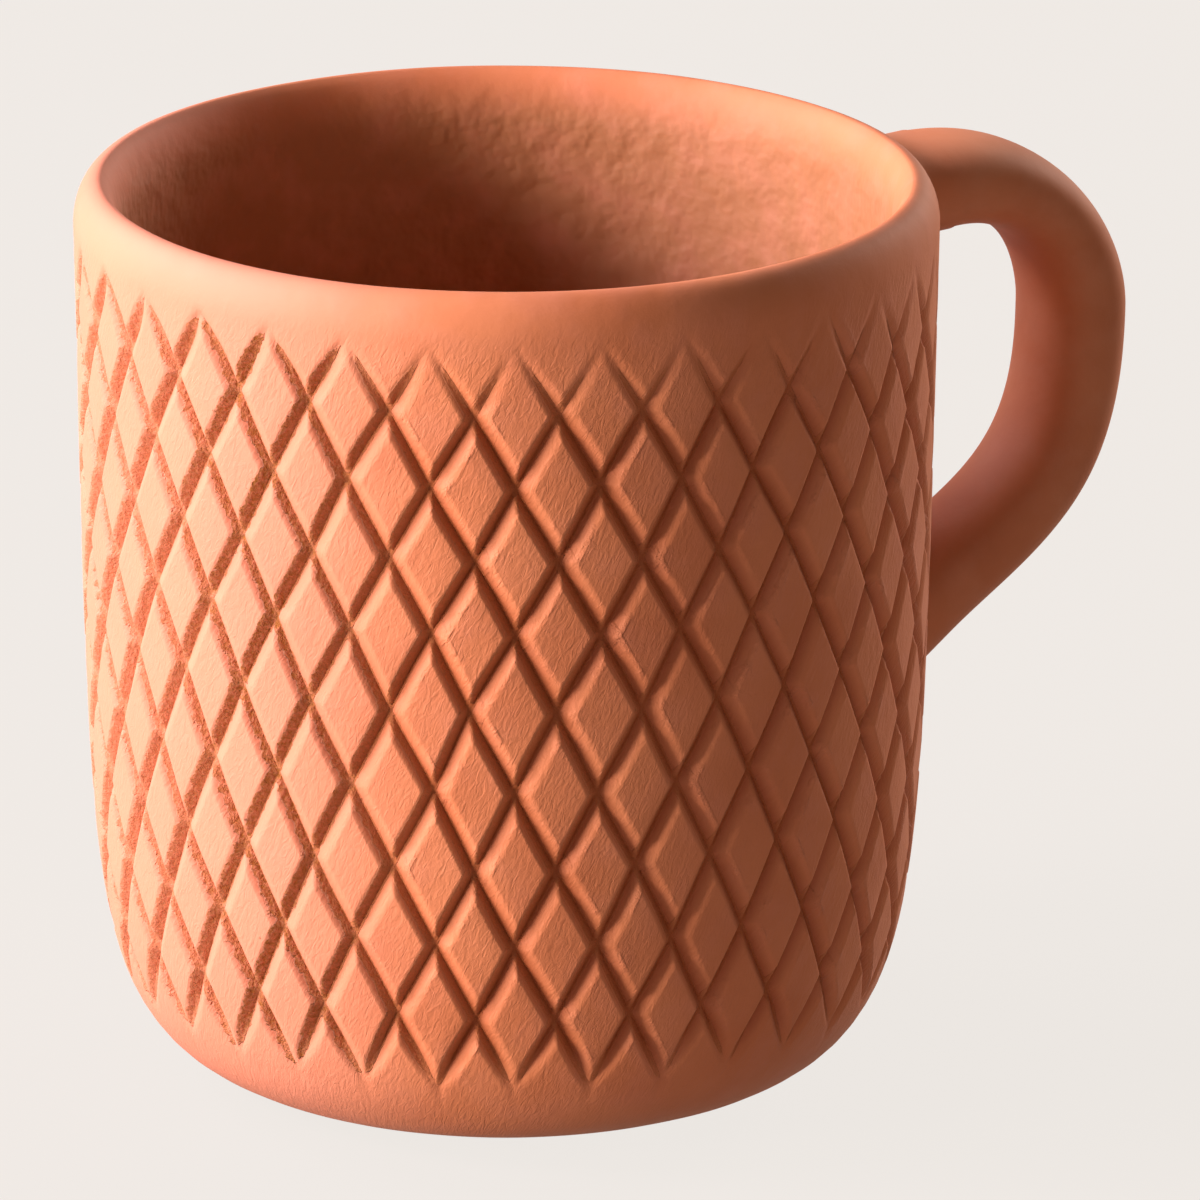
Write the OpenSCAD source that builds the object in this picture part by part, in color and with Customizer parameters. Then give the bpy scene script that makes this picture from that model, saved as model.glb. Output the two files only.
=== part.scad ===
// Hand-made cup of unglazed red clay: a thrown body with a diamond lattice cut into its wall,
// and a pulled strap handle luted on with slip at its two ends.
// The origin is the centre of the foot, +Z is up and the handle points along +X.

/* [Cup] */
// Outer diameter of the wall's line at the rim
cup_d = 85.8; // [76:0.2:100]
// Height from the foot to the top of the rim
cup_h = 91.3; // [86:0.1:110]
// How much the wall's line leans in from the rim down to the foot, on each side
wall_lean = 1.6; // [0:0.1:4]
// Thickness of the wall
wall_t = 4.8; // [4:0.1:6.5]
// Thickness of the floor
floor_t = 6; // [4:0.5:8]
// Diameter of the flat foot that the cup stands on
foot_d = 40; // [34:1:56]
// Height up to which the wall curves in towards the foot
belly_h = 86; // [60:1:86]
// Height of the outer half of the rounded rim
rim_h = 4.4; // [2:0.1:4.7]
// Height of the inner half of the rounded rim
lip_h = 5.6; // [2:0.1:8]

/* [Lattice] */
// Number of diamonds in one row round the cup
diamonds_round = 32; // [28:1:36]
// Number of rows of crossings, counted in half diamonds
half_rows = 10; // [8:2:12]
// Plain band between the rounded rim and the lattice
rim_band = 0.4; // [0.4:0.1:8]
// Plain band between the foot and the lattice
foot_band = 9.3; // [8:0.1:16]
// Width of a groove at the surface
groove_w = 2.2; // [1.4:0.1:2.8]
// Depth of a groove
groove_depth = 0.9; // [0.5:0.1:1.3]
// How far the hand-set rows drift up from an even spacing
row_drift = 2.5; // [0:0.1:3]

/* [Handle] */
// Distance from the top of the rim down to where the strap's centre line leaves the wall
handle_drop = 8.9; // [8.3:0.1:14]
// Height of the handle between the two places where its centre line meets the wall
handle_h = 50.3; // [44:0.1:56]
// Distance from the upper of those places down to the strap's outermost point
bow_drop = 13.7; // [11:0.1:20]
// Clear gap for the fingers between the wall and the strap at its outermost point
finger_gap = 18.8; // [16:0.1:30]
// Width of the strap
strap_w = 13.2; // [11:0.1:18]
// Width of the strap where it leaves the upper joint
strap_root_w = 15.6; // [13:0.1:20]
// Thickness of the strap at its ends and at its outermost point
strap_t = 9.7; // [8:0.1:11]
// Thickness of the strap's neck, halfway from the upper joint to the outermost point
strap_neck_t = 8.6; // [7:0.1:10]
// Slope of the strap where it leaves the wall, in degrees
top_rise = 18; // [5:1:22]
// Slope of the strap where it meets the wall again, in degrees
low_rise = 54; // [45:1:58]

/* [Joints] */
// Length of the upper joint along the strap, from the wall
upper_joint_l = 7; // [5.5:0.1:9]
// Length of the lower joint along the strap, from the wall
lower_joint_l = 10.5; // [10:0.1:14]
// Fillet of slip above each joint
joint_fillet_top = 1.3; // [0.8:0.1:1.8]
// Fillet of slip beside each joint
joint_fillet_side = 3.4; // [1.5:0.1:5]
// Fillet of slip below the upper joint
upper_fillet_low = 7; // [2:0.1:8]
// Fillet of slip below the lower joint
lower_fillet_low = 4.6; // [2:0.1:6]
// Thickness of the slip at its edge on the wall
slip_edge_t = 0.35; // [0.2:0.05:0.6]

/* [Hidden] */
clay = "#c47a55";
strap_clay = "#b96c48";
slip_clay = "#ac5f3e";

// The wall drops away from its line with this power of the height that is left
belly_power = 4.5;
// Share of the wall's thickness that the rim rounds off outwards
rim_out_share = 0.57;
side_steps = 28;
rim_steps = 8;
round_fn = 128;

foot_r = foot_d / 2;
rim_start_z = cup_h - rim_h;
lip_start_z = cup_h - lip_h;
side_z = [for (i = [0:side_steps]) rim_start_z * pow(i / side_steps, 2)];

function wall_line(z) = cup_d / 2 - wall_lean * (cup_h - z) / cup_h;

// Share of the inward curve that is left at a height, from 1 at its foot to 0 at its top
function belly_share(z, low, high) =
    pow(1 - sqrt(min(1, max(0, (z - low) / (high - low)))), belly_power);

function side_r(z) = wall_line(z) - (wall_line(0) - foot_r) * belly_share(z, 0, belly_h);

floor_r = foot_r - wall_t / 2;
function inside_r(z) =
    wall_line(z) - wall_t
    - (wall_line(floor_t) - wall_t - floor_r) * belly_share(z, floor_t, belly_h);

peak_r = wall_line(cup_h) - rim_out_share * wall_t;
rim_out_points = [for (i = [0:rim_steps])
    let (turn = 90 * i / rim_steps)
    [peak_r + (side_r(rim_start_z) - peak_r) * cos(turn), rim_start_z + rim_h * sin(turn)]];
rim_in_points = [for (i = [1:rim_steps])
    let (turn = 90 * i / rim_steps)
    [peak_r - (peak_r - inside_r(lip_start_z)) * sin(turn), lip_start_z + lip_h * cos(turn)]];
inside_points = [for (i = [side_steps - 1:-1:0])
    let (z = floor_t + (lip_start_z - floor_t) * pow(i / side_steps, 2))
    [inside_r(z), z]];

// Outer radius at any height, the rounded rim included
function outer_r(z) =
    z < rim_start_z ? side_r(z)
    : peak_r + (side_r(rim_start_z) - peak_r)
        * sqrt(1 - pow(min(1, (z - rim_start_z) / rim_h), 2));

// The lattice is a skin of its own shape round a plain core. Shares of the wall behind the
// grooves say how far the core is cut back, and how deep the skin reaches into it.
core_cut_share = 0.25;
skin_back_share = 0.45;
core_cut = groove_depth + core_cut_share * (wall_t - groove_depth);
skin_back = groove_depth + skin_back_share * (wall_t - groove_depth);
// How far the skin's ends reach into the plain bands, and lie below their surface
skin_lap_share = 0.06;
skin_tuck_share = 0.02;
skin_lap = skin_lap_share * wall_t;
skin_tuck = skin_tuck_share * wall_t;
skin_bands = 5;

lattice_low_z = foot_band;
lattice_top_z = rim_start_z - rim_band;
low_step_z = lattice_low_z + skin_lap;
high_step_z = lattice_top_z - skin_lap;
half_columns = 2 * diamonds_round;
column_turn = 360 / half_columns;
mean_row_h = (lattice_top_z - lattice_low_z) / half_rows;
half_diamond_w = PI * cup_d / half_columns;
// Share of each half diamond that the groove beside it takes
inset_share =
    groove_w / 2 * norm([half_diamond_w, mean_row_h]) / (half_diamond_w * mean_row_h);

function row_z(row) =
    let (rise = row / half_rows)
    lattice_low_z + (lattice_top_z - lattice_low_z) * rise + row_drift * rise * sin(180 * rise);

// Centre line of the handle: two cubic curves that meet upright at its outermost point
handle_top_z = cup_h - handle_drop;
handle_bow_z = handle_top_z - bow_drop;
handle_low_z = handle_top_z - handle_h;
root_depth = wall_t / 2;
top_pull_share = 0.81;
bow_up_share = 0.44;
bow_down_share = 0.67;
low_pull_share = 0.54;
bow_x = side_r(handle_bow_z) + finger_gap + strap_t / 2;
top_root = [side_r(handle_top_z) - root_depth, handle_top_z];
low_root = [side_r(handle_low_z) - root_depth, handle_low_z];
bow = [bow_x, handle_bow_z];
top_pull = top_pull_share * (bow_x - top_root[0]);
low_pull = low_pull_share * (handle_h - bow_drop);
upper_curve = [
    top_root,
    top_root + top_pull * [cos(top_rise), sin(top_rise)],
    bow + [0, bow_up_share * bow_drop],
    bow];
lower_curve = [
    bow,
    bow - [0, bow_down_share * (handle_h - bow_drop)],
    low_root + low_pull * [cos(low_rise), sin(low_rise)],
    low_root];

function curve_point(p, t) =
    pow(1 - t, 3) * p[0] + 3 * pow(1 - t, 2) * t * p[1] + 3 * (1 - t) * t * t * p[2]
    + pow(t, 3) * p[3];
function curve_slope(p, t) =
    pow(1 - t, 2) * (p[1] - p[0]) + 2 * (1 - t) * t * (p[2] - p[1]) + t * t * (p[3] - p[2]);

// Place s runs from 0 at the upper root over 1 at the bow to 2 at the lower root
function path_point(s) = s < 1 ? curve_point(upper_curve, s) : curve_point(lower_curve, s - 1);
function path_dir(s) =
    let (slope = s < 1 ? curve_slope(upper_curve, s) : curve_slope(lower_curve, s - 1))
    slope / norm(slope);

strap_top_s = (root_depth + upper_joint_l) / (3 * top_pull);
strap_low_s = 2 - (root_depth + lower_joint_l) / (3 * low_pull);
strap_steps = 30;
strap_sides = 28;
// The section is a rounded oblong: a power of 2 would make it an ellipse
section_power = 2.3;

function strap_width(s) = strap_w + (strap_root_w - strap_w) * pow(max(0, 1 - s), 2);
function strap_thickness(s) = strap_t + (strap_neck_t - strap_t) * pow(sin(180 * min(1, s)), 2);
function rounded(x) = sign(x) * pow(abs(x), 2 / section_power);

// Ring of points round the strap at place s
function strap_ring(s) =
    let (centre = path_point(s), dir = path_dir(s))
    [for (i = [0:strap_sides - 1])
        let (turn = 360 * i / strap_sides,
             across = strap_width(s) / 2 * rounded(cos(turn)),
             out = strap_thickness(s) / 2 * rounded(sin(turn)))
        [centre[0] - dir[1] * out, across, centre[1] + dir[0] * out]];

// Point on the cup's outer surface, or proud of it
function on_wall(turn, z, proud) =
    let (r = outer_r(z) + proud)
    [r * cos(turn), r * sin(turn), z];

joint_steps = 6;

// Rings of a joint, from the strap's end at place s to the wall and on into it. Each point of
// the strap's end runs straight on to the wall, and a fillet leads from it on to the surface.
function joint_rings(s, root, fillet_low) =
    let (
        end = strap_ring(s),
        dir = path_dir(s),
        wall_r = outer_r(root[1]),
        foot_points = [for (p = end)
            let (x = sqrt(wall_r * wall_r - p[1] * p[1]),
                 z = p[2] - (p[0] - x) * dir[1] / dir[0])
            [atan2(p[1], x), z]],
        mid_z = (max([for (p = foot_points) p[1]]) + min([for (p = foot_points) p[1]])) / 2,
        spread = [for (p = foot_points)
            let (away = [PI / 180 * wall_r * p[0], p[1] - mid_z], unit = away / norm(away),
                 upright = unit[1] > 0 ? joint_fillet_top : fillet_low,
                 fillet = norm([unit[0] * joint_fillet_side, unit[1] * upright]))
            [unit[0] * fillet, unit[1] * fillet, fillet]],
        corner = [for (p = foot_points) on_wall(p[0], p[1], 0)],
        start = [for (i = [0:strap_sides - 1])
            let (back = end[i] - corner[i])
            corner[i] + back * min(1, spread[i][2] / norm(back))],
        finish = [for (i = [0:strap_sides - 1])
            on_wall(foot_points[i][0] + spread[i][0] * 180 / PI / wall_r,
                    foot_points[i][1] + spread[i][1], slip_edge_t)],
        buried_x = min([for (p = finish) p[0]]) - root_depth)
    concat(
        [end],
        [for (k = [0:joint_steps])
            let (t = k / joint_steps)
            [for (i = [0:strap_sides - 1])
                (1 - t) * (1 - t) * start[i] + 2 * (1 - t) * t * corner[i] + t * t * finish[i]]],
        [[for (p = finish) [buried_x, p[1], p[2]]]]);

// Closed solid through a list of rings of equally many points, with flat ends. The rings go
// from the upper end of the handle's path to its lower end.
module loft(rings) {
    n = len(rings[0]);
    last = len(rings) - 1;
    polyhedron(
        points = [for (ring = rings) for (p = ring) p],
        faces = concat(
            [[for (i = [0:n - 1]) i]],
            [[for (i = [n - 1:-1:0]) last * n + i]],
            [for (k = [0:last - 1]) for (i = [0:n - 1])
                [k * n + i, (k + 1) * n + i, (k + 1) * n + (i + 1) % n]],
            [for (k = [0:last - 1]) for (i = [0:n - 1])
                [k * n + i, (k + 1) * n + (i + 1) % n, k * n + (i + 1) % n]]));
}

// The cup's outer shape with no lattice, filled
module cup_envelope() {
    rotate_extrude($fn = round_fn)
        polygon(concat(
            [[0, 0]],
            [for (z = side_z) if (z < rim_start_z) [side_r(z), z]],
            rim_out_points,
            [[0, cup_h]]));
}

module cup_core() {
    rotate_extrude($fn = round_fn)
        polygon(concat(
            [[0, 0]],
            [for (z = side_z) if (z < low_step_z) [side_r(z), z]],
            [[side_r(low_step_z), low_step_z], [side_r(low_step_z) - core_cut, low_step_z]],
            [for (z = side_z) if (z > low_step_z && z < high_step_z) [side_r(z) - core_cut, z]],
            [[side_r(high_step_z) - core_cut, high_step_z], [side_r(high_step_z), high_step_z]],
            rim_out_points,
            rim_in_points,
            inside_points,
            [[0, floor_t]]));
}

// Half size of a joint's print on the wall, round the cup and up it
upper_print = [
    strap_root_w / 2 + joint_fillet_side + groove_w,
    strap_t / 2 / cos(top_rise) + upper_fillet_low + groove_w];
lower_print = [
    strap_w / 2 + joint_fillet_side + groove_w,
    strap_t / 2 / cos(low_rise) + lower_fillet_low + groove_w];

// The lattice is left out under the joints, where the maker smoothed the wall
function in_print(turn, z, middle_z, print) =
    norm([PI / 180 * cup_d / 2 * turn / print[0], (z - middle_z) / print[1]]) < 1;
function is_cut(column, row) =
    let (turn = (column * column_turn + 180) % 360 - 180, z = row_z(row))
    row > 0 && row < half_rows
    && !in_print(turn, z, handle_top_z, upper_print)
    && !in_print(turn, z, handle_low_z, lower_print);

// Crossings of the grooves lie where column and row add up to an odd number, and the middles
// of the diamonds where the sum is even
function grid_point(column, row) =
    let (z = row_z(row),
         cut = (column + row) % 2 == 1 && is_cut(column, row) ? groove_depth : 0,
         tuck = row == 0 || row == half_rows ? skin_tuck : 0,
         r = side_r(z) - cut - tuck,
         turn = column * column_turn)
    [r * cos(turn), r * sin(turn), z];

// Each diamond's flat face has its corners on the way from its middle to the crossings: to the
// left, the right, the top and the bottom
corner_steps = [[-1, 0], [1, 0], [0, 1], [0, -1]];
function corner_point(column, row, side) =
    let (way = corner_steps[side],
         turn = (column + way[0] * (1 - inset_share)) * column_turn,
         z = row_z(row) + (1 - inset_share) * (row_z(row + way[1]) - row_z(row)),
         r = side_r(z))
    [r * cos(turn), r * sin(turn), z];

function grid_index(column, row) = row * half_columns + (column + half_columns) % half_columns;
corner_base = (half_rows + 1) * half_columns;
// A groove runs out to nothing in the first and last row, so corners there are crossings
function corner_index(column, row, side) =
    let (way = corner_steps[side], end_row = row + way[1])
    end_row == 0 || end_row == half_rows ? grid_index(column + way[0], end_row)
    : corner_base + 4 * (row * diamonds_round + floor(column / 2)) + side;
back_base = corner_base + 4 * (half_rows + 1) * diamonds_round;
function back_index(column, band) = back_base + band * half_columns + column % half_columns;

function whole(face) = face[0] != face[1] && face[1] != face[2] && face[2] != face[0];

// One diamond: its face in four triangles, and the groove walls that fall away from its sides
function diamond_faces(column, row) =
    let (middle = grid_index(column, row),
         left = corner_index(column, row, 0), right = corner_index(column, row, 1),
         cross_left = grid_index(column - 1, row), cross_right = grid_index(column + 1, row),
         top = row < half_rows ? corner_index(column, row, 2) : middle,
         low = row > 0 ? corner_index(column, row, 3) : middle,
         cross_top = row < half_rows ? grid_index(column, row + 1) : middle,
         cross_low = row > 0 ? grid_index(column, row - 1) : middle)
    concat(
        row == half_rows ? [] : [
            [middle, top, right], [middle, left, top],
            [top, cross_top, cross_right], [top, cross_right, right],
            [left, cross_left, cross_top], [left, cross_top, top]],
        row == 0 ? [] : [
            [middle, right, low], [middle, low, left],
            [right, cross_right, cross_low], [right, cross_low, low],
            [low, cross_low, cross_left], [low, cross_left, left]]);

skin_points = concat(
    [for (row = [0:half_rows]) for (column = [0:half_columns - 1]) grid_point(column, row)],
    [for (row = [0:half_rows]) for (pair = [0:diamonds_round - 1]) for (side = [0:3])
        corner_point(2 * pair + row % 2, row, side)],
    [for (band = [0:skin_bands]) for (column = [0:half_columns - 1])
        let (z = lattice_low_z + (lattice_top_z - lattice_low_z) * band / skin_bands,
             r = side_r(z) - skin_back)
        [r * cos(column * column_turn), r * sin(column * column_turn), z]]);

skin_faces = concat(
    [for (row = [0:half_rows]) for (pair = [0:diamonds_round - 1])
        for (face = diamond_faces(2 * pair + row % 2, row)) if (whole(face)) face],
    [for (column = [0:half_columns - 1])
        each [
            [grid_index(column + 1, half_rows), grid_index(column, half_rows),
                back_index(column, skin_bands)],
            [grid_index(column + 1, half_rows), back_index(column, skin_bands),
                back_index(column + 1, skin_bands)],
            [grid_index(column, 0), grid_index(column + 1, 0), back_index(column + 1, 0)],
            [grid_index(column, 0), back_index(column + 1, 0), back_index(column, 0)]]],
    [for (band = [0:skin_bands - 1]) for (column = [0:half_columns - 1])
        each [
            [back_index(column + 1, band), back_index(column + 1, band + 1),
                back_index(column, band + 1)],
            [back_index(column + 1, band), back_index(column, band + 1),
                back_index(column, band)]]]);

// Thrown floor, wall and rim, with the lattice cut into the wall
module cup_body() {
    color(clay)
        union() {
            cup_core();
            polyhedron(points = skin_points, faces = skin_faces);
        }
}

// Pulled strap, bent to an ear
module handle() {
    color(strap_clay)
        loft([for (k = [0:strap_steps])
            strap_ring(strap_top_s + (strap_low_s - strap_top_s) * k / strap_steps)]);
}

// Slip worked round the strap's upper end
module upper_slip_joint() {
    rings = joint_rings(strap_top_s, top_root, upper_fillet_low);
    color(slip_clay)
        difference() {
            loft([for (k = [len(rings) - 1:-1:0]) rings[k]]);
            cup_envelope();
        }
}

// Slip worked round the strap's lower end
module lower_slip_joint() {
    color(slip_clay)
        difference() {
            loft(joint_rings(strap_low_s, low_root, lower_fillet_low));
            cup_envelope();
        }
}

cup_body();
handle();
upper_slip_joint();
lower_slip_joint();
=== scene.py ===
import math

import bmesh
import bpy
import numpy as np
from mathutils import Matrix, Vector, noise


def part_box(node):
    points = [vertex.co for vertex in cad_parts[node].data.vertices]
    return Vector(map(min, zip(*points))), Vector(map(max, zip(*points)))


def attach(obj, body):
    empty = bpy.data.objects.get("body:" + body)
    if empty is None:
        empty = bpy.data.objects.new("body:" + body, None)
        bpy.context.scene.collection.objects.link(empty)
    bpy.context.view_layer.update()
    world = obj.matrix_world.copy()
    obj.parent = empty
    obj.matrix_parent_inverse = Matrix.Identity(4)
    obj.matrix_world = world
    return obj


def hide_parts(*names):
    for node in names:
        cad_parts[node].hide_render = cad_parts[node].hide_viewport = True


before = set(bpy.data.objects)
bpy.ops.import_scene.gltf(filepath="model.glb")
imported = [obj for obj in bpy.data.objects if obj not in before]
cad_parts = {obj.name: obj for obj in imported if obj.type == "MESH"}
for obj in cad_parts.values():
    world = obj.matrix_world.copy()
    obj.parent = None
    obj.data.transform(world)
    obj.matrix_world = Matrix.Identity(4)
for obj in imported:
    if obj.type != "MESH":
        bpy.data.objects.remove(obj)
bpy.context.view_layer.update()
bpy.ops.object.select_all(action="DESELECT")

# Cup body. The real one is a cup of red clay, thrown on a wheel, with its rim rounded by a wet
# finger. When it was leather hard, a lattice of V grooves was cut into the wall by hand, one
# slanting line after another, so the grooves wander, tear the clay and raise burrs.
# Sizes are in mm, up to where a mesh is written.
MM = 0.001
CUP_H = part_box("cup_body")[1].z / MM
WALL_D = 85.8
WALL_LEAN = 1.6
WALL_T = 4.8
FLOOR_T = 6.0
FOOT_D = 40.0
BELLY_H = 86.0
BELLY_POWER = 4.5
RIM_H = 4.4
LIP_H = 5.6
RIM_OUT_SHARE = 0.57
# The clay's skin lies this far inside the solid, which leaves room for its unevenness
SKIN_ROOM = 0.14

DIAMONDS_ROUND = 32
HALF_ROWS = 10
LATTICE_LOW = 9.3
LATTICE_TOP = CUP_H - RIM_H - 0.4
ROW_DRIFT = 2.5
GROOVE_DEPTH = 1.05
# The lattice is left out round these two heights on the handle's side, in ellipses of this
# half size: along the girth and up the wall
HANDLE_TOP = CUP_H - 8.9
HANDLE_LOW = HANDLE_TOP - 50.3
UPPER_PRINT = (13.4, 14.3)
LOWER_PRINT = (12.2, 15.0)

COLUMN_TURN = math.pi / DIAMONDS_ROUND
# Rows of the tube outside the lattice: one each for the foot and the belly below it, and above
# it one each for the rim's outer and inner half, two for the inside and one for the floor
ROWS_BELOW = 2
ROWS_ABOVE = 5
# Each side of a diamond is cut into cells: four in the groove at either end, one beside each
# that keeps the groove's edge crisp, and three between. These are where the first four and the
# fifth end, as shares of the side
CELLS = 13
GROOVE_EDGE = 0.174
FLAT_FROM = 0.2
# The knife leant over, so a groove's bottom lies a little to the left of its middle
GROOVE_BOTTOM = -GROOVE_EDGE / 4


def rolled_tube(name, columns, rows, turn=0.0):
    """An open cylinder of radius 1 on the ground, cut into rows that are 1 high."""
    bpy.ops.mesh.primitive_cylinder_add(
        vertices=columns, radius=1, depth=rows, end_fill_type="NOTHING",
        location=(0, 0, rows / 2), rotation=(0, 0, turn))
    piece = bpy.context.object
    piece.name = name
    piece.data.name = name
    bpy.ops.object.transform_apply(location=True, rotation=True, scale=True)
    bpy.ops.object.mode_set(mode="EDIT")
    bpy.ops.mesh.select_mode(type="EDGE")
    pick_edges(piece, lambda low, high: high.z - low.z > 0.5)
    bpy.ops.mesh.subdivide(number_cuts=rows - 1)
    return piece


def pick_edges(piece, wanted):
    """In edit mode, selects just the edges whose lower and upper ends pass the test."""
    bpy.ops.mesh.select_all(action="DESELECT")
    mesh = bmesh.from_edit_mesh(piece.data)
    for edge in mesh.edges:
        low, high = sorted((v.co for v in edge.verts), key=lambda co: co.z)
        edge.select_set(wanted(low, high))
    mesh.select_flush_mode()
    bmesh.update_edit_mesh(piece.data)


def read_points(piece, what="co"):
    values = np.zeros(len(piece.data.vertices) * 3)
    piece.data.vertices.foreach_get(what, values)
    return values.reshape(-1, 3)


def write_points(piece, points):
    """Moves the vertices to these places, which are in mm."""
    piece.data.vertices.foreach_set("co", (points * MM).astype(np.float32).ravel())
    piece.data.update()


def close_up(piece, smooth_angle):
    """Merges what meets, closes the open ends, turns the faces outwards and shades them smooth."""
    bpy.ops.object.mode_set(mode="EDIT")
    bpy.ops.mesh.select_mode(type="VERT")
    bpy.ops.mesh.select_all(action="SELECT")
    bpy.ops.mesh.remove_doubles(threshold=0.002 * MM)
    bpy.ops.mesh.select_all(action="SELECT")
    bpy.ops.mesh.fill_holes(sides=0)
    bpy.ops.mesh.select_all(action="SELECT")
    bpy.ops.mesh.normals_make_consistent(inside=False)
    bpy.ops.object.mode_set(mode="OBJECT")
    bpy.ops.object.shade_smooth_by_angle(angle=math.radians(smooth_angle))


def wall_line(z):
    return WALL_D / 2 - WALL_LEAN * (CUP_H - z) / CUP_H


def belly_share(z, low, high):
    """Share of the inward curve that is left at a height, from 1 at its foot to 0 at its top."""
    return (1 - np.sqrt(np.clip((z - low) / (high - low), 0, 1))) ** BELLY_POWER


def side_r(z):
    return wall_line(z) - (wall_line(0) - FOOT_D / 2) * belly_share(z, 0, BELLY_H)


def inside_r(z):
    run_in = wall_line(FLOOR_T) - WALL_T - (FOOT_D - WALL_T) / 2
    return wall_line(z) - WALL_T - run_in * belly_share(z, FLOOR_T, BELLY_H)


def row_z(row):
    rise = row / HALF_ROWS
    even = LATTICE_LOW + (LATTICE_TOP - LATTICE_LOW) * rise
    return even + ROW_DRIFT * rise * np.sin(math.pi * rise)


def even_walk(r, z, share):
    """Points at these shares of the length of an outline."""
    way = np.concatenate([[0], np.cumsum(np.hypot(np.diff(r), np.diff(z)))])
    return np.interp(share * way[-1], way, r), np.interp(share * way[-1], way, z)


OUTLINE_STEPS = 400


def cup_outline(rows):
    """Radius and height of the skin at each row of the tube: foot, belly, lattice, rim, inside."""
    r, z = side_r(row_z(rows)), row_z(rows)
    fine = np.linspace(0, 1, OUTLINE_STEPS)
    quarter = fine * math.pi / 2
    rim_z, lip_z = CUP_H - RIM_H, CUP_H - LIP_H
    peak_r = wall_line(CUP_H) - RIM_OUT_SHARE * WALL_T
    belly_z = LATTICE_LOW * fine ** 2
    wall_z = FLOOR_T + (lip_z - FLOOR_T) * (1 - fine) ** 2
    stretches = [
        (-2, -1, FOOT_D / 2 * fine, 0 * fine),
        (-1, 0, side_r(belly_z), belly_z),
        (HALF_ROWS, HALF_ROWS + 1,
         np.append(side_r(LATTICE_TOP), peak_r + (side_r(rim_z) - peak_r) * np.cos(quarter)),
         np.append(LATTICE_TOP, rim_z + RIM_H * np.sin(quarter))),
        (HALF_ROWS + 1, HALF_ROWS + 2,
         peak_r - (peak_r - inside_r(lip_z)) * np.sin(quarter), lip_z + LIP_H * np.cos(quarter)),
        (HALF_ROWS + 2, HALF_ROWS + 4, inside_r(wall_z), wall_z),
        (HALF_ROWS + 4, HALF_ROWS + 5, (FOOT_D - WALL_T) / 2 * (1 - fine), FLOOR_T + 0 * fine),
    ]
    outside_lattice = (rows < 0) | (rows > HALF_ROWS)
    for start, end, line_r, line_z in stretches:
        here = outside_lattice & (rows >= start) & (rows <= end)
        r[here], z[here] = even_walk(line_r, line_z, (rows[here] - start) / (end - start))
    return r, z


def soft_noise(points, size, seed):
    """Soft noise between about -1 and 1, with bumps of this size, in the points' own unit."""
    shift = Vector((seed * 17.3, seed * 5.7, seed * 31.1))
    return np.array([noise.noise(Vector(p) / size + shift) for p in points])


def eased(share):
    share = np.clip(share, 0, 1)
    return share * share * (3 - 2 * share)


# A cylinder is cut into rows and each cell of its lattice is poked. Without the old straight
# edges, what is left is diamonds. Then every face is cut up along its own sides
lattice_start, lattice_end = ROWS_BELOW, ROWS_BELOW + HALF_ROWS // 2
cup = rolled_tube("clay_cup", DIAMONDS_ROUND, lattice_end + ROWS_ABOVE, COLUMN_TURN)
bpy.ops.mesh.select_mode(type="FACE")
bpy.ops.mesh.select_all(action="DESELECT")
mesh = bmesh.from_edit_mesh(cup.data)
for face in mesh.faces:
    face.select_set(lattice_start < face.calc_center_median().z < lattice_end)
bmesh.update_edit_mesh(cup.data)
bpy.ops.mesh.poke()
bpy.ops.mesh.select_mode(type="EDGE")
pick_edges(cup, lambda low, high: (
    lattice_start + 0.1 < (low.z + high.z) / 2 < lattice_end - 0.1
    and (high.z - low.z < 0.1 or (high.xy - low.xy).length < 0.01)))
bpy.ops.mesh.dissolve_edges(use_verts=False)
bpy.ops.mesh.select_all(action="SELECT")
bpy.ops.mesh.subdivide(number_cuts=CELLS - 1)
bpy.ops.object.mode_set(mode="OBJECT")

# The tube is pulled to the cup's outline, with the mesh gathered along the grooves. A lattice
# row is half as high as the tube's rows. Grooves lie where either line number is whole
tube = read_points(cup)
column = np.arctan2(tube[:, 1], tube[:, 0]) / COLUMN_TURN
rows = tube[:, 2] - lattice_start
rows = np.where(rows > HALF_ROWS / 2, rows + HALF_ROWS / 2, np.where(rows > 0, 2 * rows, rows))
in_lattice = (rows > -0.01) & (rows < HALF_ROWS + 0.01)
lattice_row = np.where(in_lattice, rows, 0)
cell_lines = [0, 4 / CELLS, 5 / CELLS, 8 / CELLS, 9 / CELLS, 1]
spacing = [0, GROOVE_EDGE, FLAT_FROM, 1 - FLAT_FROM, 1 - GROOVE_EDGE, 1]
rise_line, fall_line = (
    np.floor(line + 0.001) + np.interp(line - np.floor(line + 0.001), cell_lines, spacing)
    for line in ((column + lattice_row + 1) / 2, (column - lattice_row + 1) / 2))
column = rise_line + fall_line - 1
rows = np.where(in_lattice, np.clip(rise_line - fall_line, 0, HALF_ROWS), rows)

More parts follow.
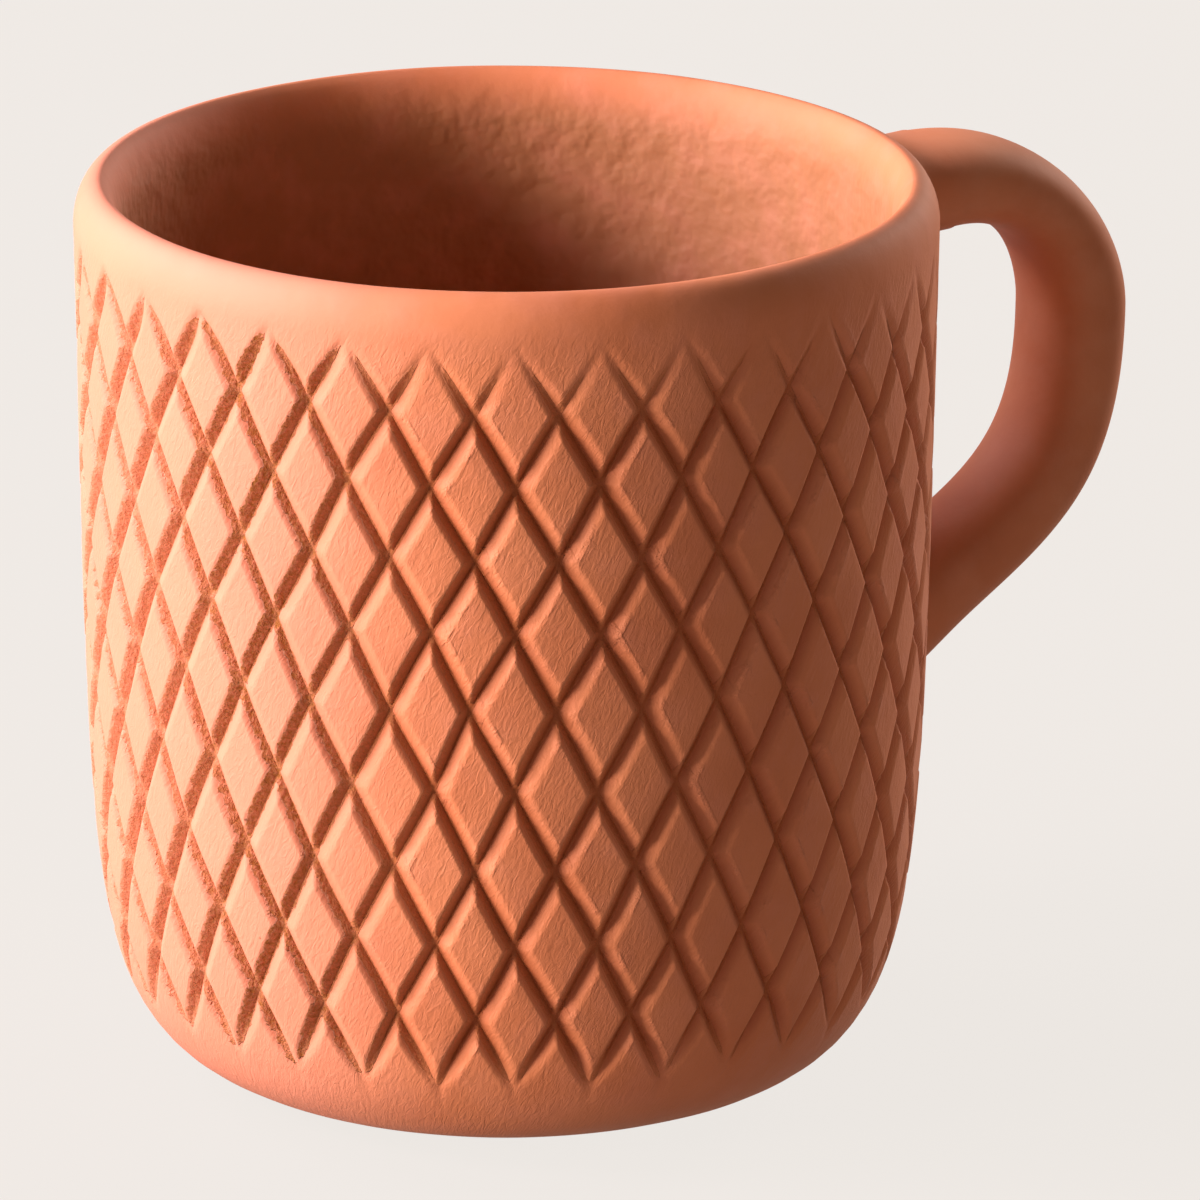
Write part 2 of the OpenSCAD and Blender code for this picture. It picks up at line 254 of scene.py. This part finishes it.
# The maker's hand wanders by a few tenths of a millimetre, least at the ends of the strokes
WANDER = 0.544
WANDER_SIZE = 15.0
on_tube = np.stack([
    WALL_D / 2 * np.cos(column * COLUMN_TURN), WALL_D / 2 * np.sin(column * COLUMN_TURN),
    row_z(rows)], 1)
loose = eased(rows) * eased(HALF_ROWS - rows)
skin_r, skin_z = cup_outline(rows)
wandered_z = skin_z + loose * WANDER * soft_noise(on_tube, WANDER_SIZE, 1)
skin_z = np.where(in_lattice, wandered_z, skin_z)
skin_r = np.where(in_lattice, side_r(wandered_z), skin_r)
wandered_turn = WANDER / (WALL_D / 2) * soft_noise(on_tube, WANDER_SIZE, 2)
turn = column * COLUMN_TURN + loose * wandered_turn
room = np.where(rows <= HALF_ROWS + 1, SKIN_ROOM, -SKIN_ROOM)
skin_r = np.maximum(0, skin_r - room * (skin_r > 1))
skin = np.stack([skin_r * np.cos(turn), skin_r * np.sin(turn), skin_z], 1)
write_points(cup, skin)


def near_side(turn, middle, edge, run):
    """From 1 on one side of the cup to 0 where the cosine of the turn from it drops to edge."""
    return eased((np.cos(turn - middle) - edge) / run)


# The grooves: how deep each vertex is cut, from its distance to the nearest lines, and where
# the knife tore the clay or pushed up a burr beside it. The knife pressed harder and softer
# along each stroke, which changes its depth and width by these shares, every few rows
PRESS = 0.15
PRESS_W = 0.07
PRESS_ROWS = 2.2
STROKES_APART = 7.7
# It was lifted out over this many rows, a little past the lattice's end, and on one side earlier
PAST_END = 0.12
LIFT_ROWS = 0.75
EARLY_LIFT_ROWS = 0.9
EARLY_LIFT_SIDE = math.radians(-76)
# The right wall of a groove is convex, and burrs stand this far from its middle
RIGHT_WALL_POWER = 1.25
BURR_AWAY = 1.1
BURR_W = 0.4
fine_rows = np.linspace(0, HALF_ROWS, 200)
row_h = np.interp(rows, fine_rows, np.gradient(row_z(fine_rows), fine_rows[1]))
column_w = side_r(row_z(np.clip(rows, 0, HALF_ROWS))) * COLUMN_TURN
line_gap = 2 / np.hypot(1 / column_w, 1 / row_h)
ends = np.minimum(rows, HALF_ROWS - rows)
early = near_side(turn, EARLY_LIFT_SIDE, 0.35, 0.45) * (rows > HALF_ROWS / 2)
lift_rows = LIFT_ROWS + EARLY_LIFT_ROWS * early
depth, torn, burr = (np.zeros(len(tube)) for _ in range(3))
# For each direction: its noise, the line number across and along its strokes, and how far the
# tear reaches up a groove's left wall
for seed, line, along, torn_reach in (
        (3, rise_line, fall_line, 0.92),
        (4, fall_line, rise_line, 1.25)):
    number = np.round(line)
    stroke = np.stack([number * STROKES_APART, along, seed + 0 * along], 1)
    press = soft_noise(stroke, PRESS_ROWS, seed)
    fade = eased((ends + PRESS * press + PAST_END) / lift_rows)
    off = line - number
    from_bottom = off - GROOVE_BOTTOM
    on_left = from_bottom < 0
    wall_w = np.where(on_left, GROOVE_EDGE + GROOVE_BOTTOM, GROOVE_EDGE - GROOVE_BOTTOM)
    up_wall = np.abs(from_bottom) / (wall_w * (1 + PRESS_W * press) * (0.5 + 0.5 * fade))
    wall_power = np.where(on_left, 1.0, RIGHT_WALL_POWER)
    cut = GROOVE_DEPTH * (1 + PRESS * press) * fade * np.clip(1 - up_wall, 0, 1) ** wall_power
    depth = np.maximum(depth, cut)
    torn_here = np.where(on_left, (torn_reach - up_wall) / 0.6, 1.1 - 4 * up_wall)
    torn = np.maximum(torn, eased(2 * fade) * np.clip(torn_here, 0, 1))
    burr_here = np.clip(1 - np.abs(off * line_gap - BURR_AWAY) / BURR_W, 0, 1)
    burr = np.maximum(burr, fade * burr_here)

# The lattice stops round the handle's two joints
signed_turn = np.angle(np.exp(1j * turn))
for middle_z, (half_girth, half_height) in (
        (HANDLE_TOP, UPPER_PRINT), (HANDLE_LOW, LOWER_PRINT)):
    along_girth = signed_turn * WALL_D / 2 / half_girth
    away = np.hypot(along_girth, (skin_z - middle_z) / half_height)
    depth, torn, burr = (share * eased((away - 0.92) / 0.16) for share in (depth, torn, burr))

# The side that faces the key lamp. There the colour is mixed paler as a painted highlight, and
# there the knife tore the clay.
# Where the lamp falls fullest the torn clay is painted paler too, as painted light. Elsewhere the
# knife pushed up burrs
KEY_LAMP_SIDE = math.radians(165)
faces_key = near_side(turn, KEY_LAMP_SIDE, 0.35, 0.45)
faces_key_most = near_side(turn, KEY_LAMP_SIDE, 0.75, 0.25)
tearing_faded_by_light = 0.3 + 0.7 * faces_key - 0.5 * faces_key_most

# Thrown walls are never quite even, and the inside is dimpled by the fingers
UNEVEN = 0.10
inside = eased(rows - HALF_ROWS - 1.1)
uneven = UNEVEN * soft_noise(skin, 26.0, 5) + UNEVEN * 0.3 * soft_noise(skin, 8.0, 6)
dimples = inside * 0.13 * soft_noise(skin, 8.0, 7)
# The foot stays flat, and the rim stays within the cup's height
raised = np.where(skin_z > 0.01, uneven + dimples - depth * in_lattice, 0)
points = skin + read_points(cup, "normal") * raised[:, None]
points[:, 2] = np.clip(points[:, 2], 0, CUP_H - 0.01)
write_points(cup, points)
# How the surface was worked, and the side that faces the key lamp, for the material to follow
worked = {
    "groove": np.clip(depth / GROOVE_DEPTH, 0, 1) * in_lattice,
    "torn_clay": torn * in_lattice,
    "burr": burr * in_lattice * (1 - faces_key),
    "faces_key": faces_key,
    "tearing_faded_by_light": tearing_faded_by_light,
    "inside_wall": inside,
    "paddled": eased((HALF_ROWS + 0.5 - rows) / 0.9),
}
for name, share in worked.items():
    layer = cup.data.attributes.new(name, "FLOAT", "POINT")
    layer.data.foreach_set("value", share.astype(np.float32))
close_up(cup, 80)


def linear(code):
    """Linear colour of an sRGB hex value."""
    values = [int(code[i:i + 2], 16) / 255 for i in (1, 3, 5)]
    return [v / 12.92 if v <= 0.04045 else ((v + 0.055) / 1.055) ** 2.4 for v in values] + [1]


def add_node(tree, kind, inputs, output=None, **settings):
    """Adds a node with its settings, and links or sets its inputs. Returns one of its outputs."""
    node = tree.nodes.new("ShaderNode" + kind)
    for name, value in settings.items():
        setattr(node, name, value)
    for socket, value in inputs.items():
        if isinstance(value, bpy.types.NodeSocket):
            tree.links.new(value, node.inputs[socket])
        else:
            node.inputs[socket].default_value = value
    return node.outputs[output] if output else next(out for out in node.outputs if out.enabled)


def per_mm(size):
    """Scale of a pattern whose features are this many mm across."""
    return 1 / (size * MM)


def fired_clay(name, clay, clouds, dust_and_highlight, softness):
    """Unglazed red earthenware in three tones: the clay, its darker clouds from the kiln and a
    paler dusting on it, whose tone also serves as a painted highlight on the side that faces the
    key lamp. The softness is the height in mm of the hollows that hands left all over."""
    material = bpy.data.materials.new(name)
    material.use_nodes = True
    tree = material.node_tree
    shader = tree.nodes["Principled BSDF"]
    place = add_node(tree, "TexCoord", {}, "Object")
    groove, torn, burr, faces_key, tearing_faded_by_light, inside_wall, paddled = (
        add_node(tree, "Attribute", {}, "Fac", attribute_name=share)
        for share in ("groove", "torn_clay", "burr", "faces_key", "tearing_faded_by_light", "inside_wall", "paddled"))

    # The wall unrolled, with a seam behind the handle. The grain runs along the paddle's strokes
    x, y, z = (add_node(tree, "SeparateXYZ", {0: place}, axis) for axis in "XYZ")
    x = add_node(tree, "Math", {0: x, 1: -1.0}, operation="MULTIPLY")
    y = add_node(tree, "Math", {0: y, 1: -1.0}, operation="MULTIPLY")
    turn = add_node(tree, "Math", {0: y, 1: x}, operation="ARCTAN2")
    girth = add_node(tree, "Math", {0: turn, 1: WALL_D / 2 * MM}, operation="MULTIPLY")
    unrolled = add_node(tree, "CombineXYZ", {"X": girth, "Y": z})
    slant = (0, 0, math.radians(-24))
    paddle = add_node(tree, "Mapping", {
        "Vector": unrolled, "Rotation": slant, "Scale": (1, 3, 1)}, vector_type="TEXTURE")

    wide = add_node(tree, "TexNoise", {"Vector": place, "Scale": per_mm(14), "Detail": 3.0})
    blotches = add_node(tree, "TexNoise", {"Vector": place, "Scale": per_mm(4.5), "Detail": 4.0})
    knocks = add_node(tree, "TexNoise", {"Vector": place, "Scale": per_mm(2.8), "Detail": 2.0})
    grit = add_node(tree, "TexNoise", {
        "Vector": place, "Scale": per_mm(0.5), "Detail": 3.0, "Roughness": 0.7})
    grain = add_node(tree, "TexNoise", {
        "Vector": paddle, "Scale": per_mm(0.48), "Detail": 3.0, "Roughness": 0.6,
        "Distortion": 0.9})

    # The torn clay keeps to one wall of each groove, and on the side that faces the key lamp its
    # edge is ragged
    ragged = add_node(tree, "MapRange", {
        "Value": add_node(tree, "TexNoise", {"Vector": place, "Scale": per_mm(0.9), "Detail": 3.0}),
        "From Min": 0.3, "From Max": 0.7, "To Min": -0.4, "To Max": 0.4})
    torn = add_node(tree, "Math", {0: ragged, 1: faces_key, 2: torn}, operation="MULTIPLY_ADD")
    torn = add_node(tree, "MapRange", {"Value": torn, "From Min": 0.42, "From Max": 0.6})
    torn = add_node(tree, "Math", {0: torn, 1: tearing_faded_by_light}, operation="MULTIPLY")

    # Colour: clouded clay, with a painted highlight that makes the side facing the key lamp paler,
    # painted shade that makes the inside browner and darker, and dusted in patches. The two colours
    # of a Mix node are its sockets 6 and 7
    mottled = add_node(tree, "MapRange", {"Value": wide, "From Min": 0.36, "From Max": 0.66})
    colour = add_node(tree, "Mix", {
        "Factor": mottled, 6: linear(clay), 7: linear(clouds)}, data_type="RGBA")
    # Painted highlight: the side that faces the key lamp is mixed towards the paler dusting tone
    painted_highlight = add_node(tree, "Math", {0: faces_key, 1: 0.7}, operation="MULTIPLY")
    colour = add_node(tree, "Mix", {"Factor": painted_highlight, 6: colour, 7: linear(dust_and_highlight)}, data_type="RGBA")
    # Painted shade: the inside of the cup is mixed towards a darker brown
    painted_inside_shade = add_node(tree, "Math", {0: inside_wall, 1: 0.9}, operation="MULTIPLY")
    colour = add_node(tree, "Mix", {
        "Factor": painted_inside_shade, 6: colour, 7: linear("#a46840")}, data_type="RGBA")
    dusty = add_node(tree, "MapRange", {
        "Value": blotches, "From Min": 0.45, "From Max": 0.8, "To Min": 0.0, "To Max": 0.3})
    colour = add_node(tree, "Mix", {"Factor": dusty, 6: colour, 7: linear(dust_and_highlight)}, data_type="RGBA")

    # Painted shade: the deeper a cut, the darker and redder, and less so on the side facing the key
    # lamp, where the light is strong.
    # Torn clay is a dull brown, and its crumbs break that up
    shaded = add_node(tree, "MapRange", {
        "Value": groove, "From Min": 0.15, "From Max": 1.0, "To Max": 0.85})
    less_shade_where_lit = add_node(tree, "MapRange", {"Value": faces_key, "To Min": 1.0, "To Max": 0.05})
    shaded = add_node(tree, "Math", {0: shaded, 1: less_shade_where_lit}, operation="MULTIPLY")
    colour = add_node(tree, "Mix", {
        "Factor": shaded, 6: colour, 7: linear("#963c0a")}, data_type="RGBA")
    coarse = add_node(tree, "MapRange", {
        "Value": grit, "From Min": 0.36, "From Max": 0.68, "To Min": 1.0, "To Max": 0.2})
    coarse = add_node(tree, "Math", {0: torn, 1: coarse}, operation="MULTIPLY")
    colour = add_node(tree, "Mix", {
        "Factor": coarse, 6: colour, 7: linear("#9e5a1a")}, data_type="RGBA")
    tree.links.new(colour, shader.inputs["Base Color"])
    dry = add_node(tree, "Math", {0: torn, 1: 0.22, 2: 0.7}, operation="MULTIPLY_ADD")
    tree.links.new(dry, shader.inputs["Roughness"])
    shader.inputs["IOR"].default_value = 1.45

    # Relief: each height with its size in mm. Burrs stand up in stretches along the cuts
    grain = add_node(tree, "Math", {0: grain, 1: paddled}, operation="MULTIPLY")
    knocks = add_node(tree, "Math", {0: knocks, 1: inside_wall}, operation="MULTIPLY")
    crumbs = add_node(tree, "Math", {0: grit, 1: torn}, operation="MULTIPLY")
    crest = add_node(tree, "MapRange", {"Value": blotches, "From Min": 0.5, "From Max": 0.62})
    crest = add_node(tree, "Math", {0: crest, 1: burr}, operation="MULTIPLY")
    crest = add_node(tree, "Math", {0: crest, 1: grit}, operation="MULTIPLY")
    relief = (
        (blotches, softness), (knocks, 0.45), (grain, 0.11), (grit, 0.015), (crumbs, 0.45),
        (crest, 0.3))
    bump = None
    for height, rise in relief:
        inputs = {"Height": height, "Distance": rise * MM, "Strength": 1.0}
        if bump:
            inputs["Normal"] = bump
        bump = add_node(tree, "Bump", inputs)
    tree.links.new(bump, shader.inputs["Normal"])
    return material


# Unglazed earthenware, bisque fired, carved when leather hard: it looks dry and chalky, the faces
# between the grooves keep the paddle's grain, and the cut clay is rough and darker, partly its own
# colour and partly painted shade in the grooves. The third, paler tone is dust, and on the side
# facing the key lamp it is also a painted highlight
cup.data.materials.clear()
cup.data.materials.append(
    fired_clay("carved_terracotta", "#d57e52", "#ca7247", "#db876c", softness=0.10))
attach(cup, "root")
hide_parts("cup_body")


# Handle. A strap pulled from a lump of the same clay, bent to an ear while soft and smoothed
# with a wet hand, thickest at its bow and widest where it leaves the cup.
STRAP_W = 13.2
STRAP_ROOT_W = 15.6
STRAP_T = 9.7
STRAP_NECK_T = 8.6
SECTION_POWER = 2.3
BOW_DROP = 13.7
FINGER_GAP = 18.8
TOP_RISE = math.radians(18)
LOW_RISE = math.radians(54)
TOP_PULL_SHARE = 0.81
BOW_UP_SHARE = 0.44
BOW_DOWN_SHARE = 0.67
LOW_PULL_SHARE = 0.54
UPPER_JOINT_L = 7.0
LOWER_JOINT_L = 10.5
STRAP_SIDES = 28
STRAP_ROWS = 56

# The strap's centre line is two curves, from the wall's middle up and over to the bow, and from
# there down and back. The bow stays a little inside the solid
BOW_ROOM = 0.12
root_depth = WALL_T / 2
bow_z = HANDLE_TOP - BOW_DROP
bow = np.array([side_r(bow_z) + FINGER_GAP + STRAP_T / 2 - BOW_ROOM, bow_z])
top_root = np.array([side_r(HANDLE_TOP) - root_depth, HANDLE_TOP])
low_root = np.array([side_r(HANDLE_LOW) - root_depth, HANDLE_LOW])
bow_to_low = bow_z - HANDLE_LOW
top_pull = TOP_PULL_SHARE * (bow[0] - top_root[0])
low_pull = LOW_PULL_SHARE * bow_to_low
upper_curve = [
    top_root, top_root + top_pull * np.array([math.cos(TOP_RISE), math.sin(TOP_RISE)]),
    bow + [0, BOW_UP_SHARE * BOW_DROP], bow]
lower_curve = [
    bow, bow - [0, BOW_DOWN_SHARE * bow_to_low],
    low_root + low_pull * np.array([math.cos(LOW_RISE), math.sin(LOW_RISE)]), low_root]
strap_start = (root_depth + UPPER_JOINT_L) / (3 * top_pull)
strap_end = 2 - (root_depth + LOWER_JOINT_L) / (3 * low_pull)


def path_at(s):
    """Place and direction of the strap's centre line, from 0 over the bow at 1 to 2."""
    curve, t = (upper_curve, s) if s < 1 else (lower_curve, s - 1)
    a, b, c, d = curve
    place = (1 - t) ** 3 * a + 3 * (1 - t) ** 2 * t * b + 3 * (1 - t) * t * t * c + t ** 3 * d
    slope = (1 - t) ** 2 * (b - a) + 2 * (1 - t) * t * (c - b) + t * t * (d - c)
    return place, slope / np.linalg.norm(slope)


def strap_ring(s, turns):
    """Points round the strap at one place, at these angles from the handle's own left."""
    (x, z), (dir_x, dir_z) = path_at(s)
    width = STRAP_W + (STRAP_ROOT_W - STRAP_W) * max(0, 1 - s) ** 2
    thickness = STRAP_T + (STRAP_NECK_T - STRAP_T) * math.sin(math.pi * min(1, s)) ** 2
    across, out = (
        np.sign(side) * np.abs(side) ** (2 / SECTION_POWER)
        for side in (np.cos(turns), np.sin(turns)))
    return np.stack([
        x - dir_z * thickness / 2 * out, width / 2 * across, z + dir_x * thickness / 2 * out], 1)


def loft(name, rings):
    """A tube of clay through these rings, rounded by subdivision."""
    piece = rolled_tube(name, len(rings[0]), len(rings) - 1)
    bpy.ops.object.mode_set(mode="OBJECT")
    tube = read_points(piece)
    sides = len(rings[0])
    side = np.round(np.arctan2(tube[:, 1], tube[:, 0]) / (2 * math.pi) * sides).astype(int)
    row = np.round(tube[:, 2]).astype(int)
    write_points(piece, np.array(rings)[row, side % sides])
    rounding = piece.modifiers.new("rounding", "SUBSURF")
    rounding.levels = rounding.render_levels = 2
    bpy.ops.object.modifier_apply(modifier=rounding.name)
    return piece


def press_uneven(piece):
    """The same hand-made unevenness as on the wall, pressed inwards."""
    points = read_points(piece) / MM
    uneven = UNEVEN * soft_noise(points, 13.0, 11) - UNEVEN / 2
    write_points(piece, points + read_points(piece, "normal") * uneven[:, None])


strap_turns = 2 * math.pi * np.arange(STRAP_SIDES) / STRAP_SIDES
handle = loft("clay_handle", [
    strap_ring(strap_start + (strap_end - strap_start) * k / STRAP_ROWS, strap_turns)
    for k in range(STRAP_ROWS + 1)])
press_uneven(handle)
close_up(handle, 50)
# The same clay, rubbed with a wet hand until the grain closed: smoother, with soft hollows
handle.data.materials.clear()
handle.data.materials.append(
    fired_clay("wet_smoothed_terracotta", "#d07d52", "#c47148", "#db936f", softness=0.08))
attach(handle, "root")
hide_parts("handle")


# Slip joints. Wet clay worked round the two ends of the strap, which fills the corner between
# strap and wall and is smoothed out to nothing on the wall.
JOINT_STEPS = 12
FILLET_TOP = 1.3
FILLET_SIDE = 3.4
UPPER_FILLET_LOW = 7.0
LOWER_FILLET_LOW = 4.6
# The fillet's edge sinks this far into the wall, and the ring that ends the piece lies deeper
EDGE_SINK = 0.12
BURIED = 1.5


def on_wall(turn, z, proud):
    """Points on the cup's skin, or proud of it, which curve in over the rim."""
    r = side_r(z) - SKIN_ROOM + proud
    over_rim = np.clip((z - (CUP_H - RIM_H)) / RIM_H, 0, 1)
    peak_r = wall_line(CUP_H) - RIM_OUT_SHARE * WALL_T
    r = np.where(over_rim > 0, peak_r + (r - peak_r) * np.sqrt(1 - over_rim ** 2), r)
    return np.stack([r * np.cos(turn), r * np.sin(turn), z], 1)


def joint_rings(s, root, fillet_low):
    """Rings from the strap's end to the wall, over the fillet and on into the wall."""
    end = strap_ring(s, strap_turns)
    _, (dir_x, dir_z) = path_at(s)
    wall_r = side_r(root[1])
    x = np.sqrt(wall_r ** 2 - end[:, 1] ** 2)
    foot_z = end[:, 2] - (end[:, 0] - x) * dir_z / dir_x
    foot_turn = np.arctan2(end[:, 1], x)
    away = np.stack([wall_r * foot_turn, foot_z - (foot_z.max() + foot_z.min()) / 2], 1)
    unit = away / np.linalg.norm(away, axis=1)[:, None]
    upright = np.where(unit[:, 1] > 0, FILLET_TOP, fillet_low)
    fillet = np.hypot(unit[:, 0] * FILLET_SIDE, unit[:, 1] * upright)
    spread = unit * fillet[:, None]
    corner = on_wall(foot_turn, foot_z, 0)
    back = end - corner
    start = corner + back * np.minimum(1, fillet / np.linalg.norm(back, axis=1))[:, None]
    finish = on_wall(foot_turn + spread[:, 0] / wall_r, foot_z + spread[:, 1], -EDGE_SINK)
    rings = [end]
    for k in range(JOINT_STEPS + 1):
        t = k / JOINT_STEPS
        rings.append((1 - t) ** 2 * start + 2 * (1 - t) * t * corner + t * t * finish)
    buried = finish.copy()
    buried[:, 0] = finish[:, 0].min() - BURIED
    return rings + [buried]


# Slip of the same clay, thin and without grit, so it dries a little darker and very smooth
slip_finish = fired_clay("smoothed_slip", "#d07d52", "#c47148", "#db936f", softness=0.08)
for name, node, s, root, fillet_low in (
        ("upper_slip", "upper_slip_joint", strap_start, top_root, UPPER_FILLET_LOW),
        ("lower_slip", "lower_slip_joint", strap_end, low_root, LOWER_FILLET_LOW)):
    slip = loft(name, joint_rings(s, root, fillet_low))
    press_uneven(slip)
    close_up(slip, 50)
    slip.data.materials.clear()
    slip.data.materials.append(slip_finish)
    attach(slip, "root")
    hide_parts(node)


# Floor. A plain pale sheet of card that runs on behind the cup and keeps its shadow.
GLOW_SHARE = 0.9
bpy.ops.mesh.primitive_plane_add(size=8, location=(0, 0, -0.0002))
floor = bpy.context.object
floor.name = "floor"
# Matte card: most of what is seen is a flat pale tone, and the rest is its own lit surface, in
# which the cup's shadow shows. To the lamps it is a greyer card, so it throws back little light
card = bpy.data.materials.new("matte_card")
card.use_nodes = True
tree = card.node_tree
surface = tree.nodes["Principled BSDF"]
surface.inputs["Base Color"].default_value = linear("#867c74")
surface.inputs["Roughness"].default_value = 1.0
surface.inputs["Specular IOR Level"].default_value = 0.0
camera_ray, glossy_ray, glass_ray = (
    add_node(tree, "LightPath", {}, "Is " + kind + " Ray")
    for kind in ("Camera", "Glossy", "Transmission"))
seen = add_node(tree, "Math", {0: camera_ray, 1: glossy_ray}, operation="MAXIMUM")
seen = add_node(tree, "Math", {0: seen, 1: glass_ray}, operation="MAXIMUM")
seen = add_node(tree, "Math", {0: seen, 1: GLOW_SHARE}, operation="MULTIPLY")
glow = add_node(tree, "Emission", {"Color": linear("#f6f1ec"), "Strength": 1.0})
mixed = add_node(tree, "MixShader", {0: seen, 1: surface.outputs[0], 2: glow})
tree.links.new(mixed, tree.nodes["Material Output"].inputs["Surface"])
floor.data.materials.append(card)


# Light. The photo is lit from the left: a key, a second lamp lower down, and one behind that
# picks out the rim. A lamp behind on the right edges the handle, a weak one in front fills the
# shadows, and the surround is faint. Places and sizes of lamps are in metres.
CAMERA_TURN = math.radians(-29.8)
LAMP_AWAY = 1.2
LAMP_AIM_H = 0.045
world = bpy.data.worlds.new("surround")
bpy.context.scene.world = world
world.use_nodes = True
world.node_tree.nodes["Background"].inputs["Color"].default_value = (1, 1, 1, 1)
world.node_tree.nodes["Background"].inputs["Strength"].default_value = 0.04


def add_softbox(name, side_deg, rise_deg, size, power, code):
    """A square lamp, placed by its angle to the right of the camera's side and above the ground."""
    turn = CAMERA_TURN - math.pi / 2 + math.radians(side_deg)
    rise = math.radians(rise_deg)
    level = math.cos(rise)
    away = Vector((math.cos(turn) * level, math.sin(turn) * level, math.sin(rise)))
    place = away * LAMP_AWAY + Vector((0, 0, LAMP_AIM_H))
    bpy.ops.object.light_add(type="AREA", location=place)
    lamp = bpy.context.object
    lamp.name = name
    lamp.rotation_euler = away.to_track_quat("Z", "Y").to_euler()
    lamp.data.size = size
    lamp.data.energy = power
    lamp.data.color = linear(code)[:3]


add_softbox("key", -82, 29, 0.36, 19.5, "#fbeeff")
add_softbox("low_left", -64, 12, 0.4, 20, "#fff6ee")
add_softbox("back_left", -118, 36, 0.5, 11.5, "#e8ecff")
add_softbox("back_right", 138, 20, 0.5, 10, "#fff0e4")
add_softbox("front_fill", 22, 7, 0.5, 2.2, "#fff0e4")


# Camera. Its place in metres, its aim and its lens come from a fit to the cup's outline in the
# photo.
CAMERA_AWAY = 1.14082
CAMERA_H = 0.42038
FOCAL_PX = 12064.16
PHOTO_PX = 1200
YAW = math.radians(0.469)
PITCH = math.radians(18.106)
ROLL = math.radians(0.2288)
to_row = Matrix.Rotation(CAMERA_TURN, 3, "Z")
level_ahead = math.cos(PITCH)
forward = to_row @ Vector(
    (math.sin(YAW) * level_ahead, math.cos(YAW) * level_ahead, -math.sin(PITCH)))
level_right = to_row @ Vector((math.cos(YAW), -math.sin(YAW), 0))
level_up = level_right.cross(forward)
right = level_right * math.cos(ROLL) + level_up * math.sin(ROLL)
up = level_up * math.cos(ROLL) - level_right * math.sin(ROLL)
camera = bpy.data.objects.new("camera", bpy.data.cameras.new("camera"))
bpy.context.scene.collection.objects.link(camera)
bpy.context.scene.camera = camera
camera.data.sensor_width = 36
camera.data.lens = FOCAL_PX / PHOTO_PX * camera.data.sensor_width
camera.data.clip_end = 20
place = to_row @ Vector((0, -CAMERA_AWAY, CAMERA_H))
aim = Matrix((right, up, -forward)).transposed().to_4x4()
camera.matrix_world = Matrix.Translation(place) @ aim
bpy.context.scene.view_settings.view_transform = "Standard"
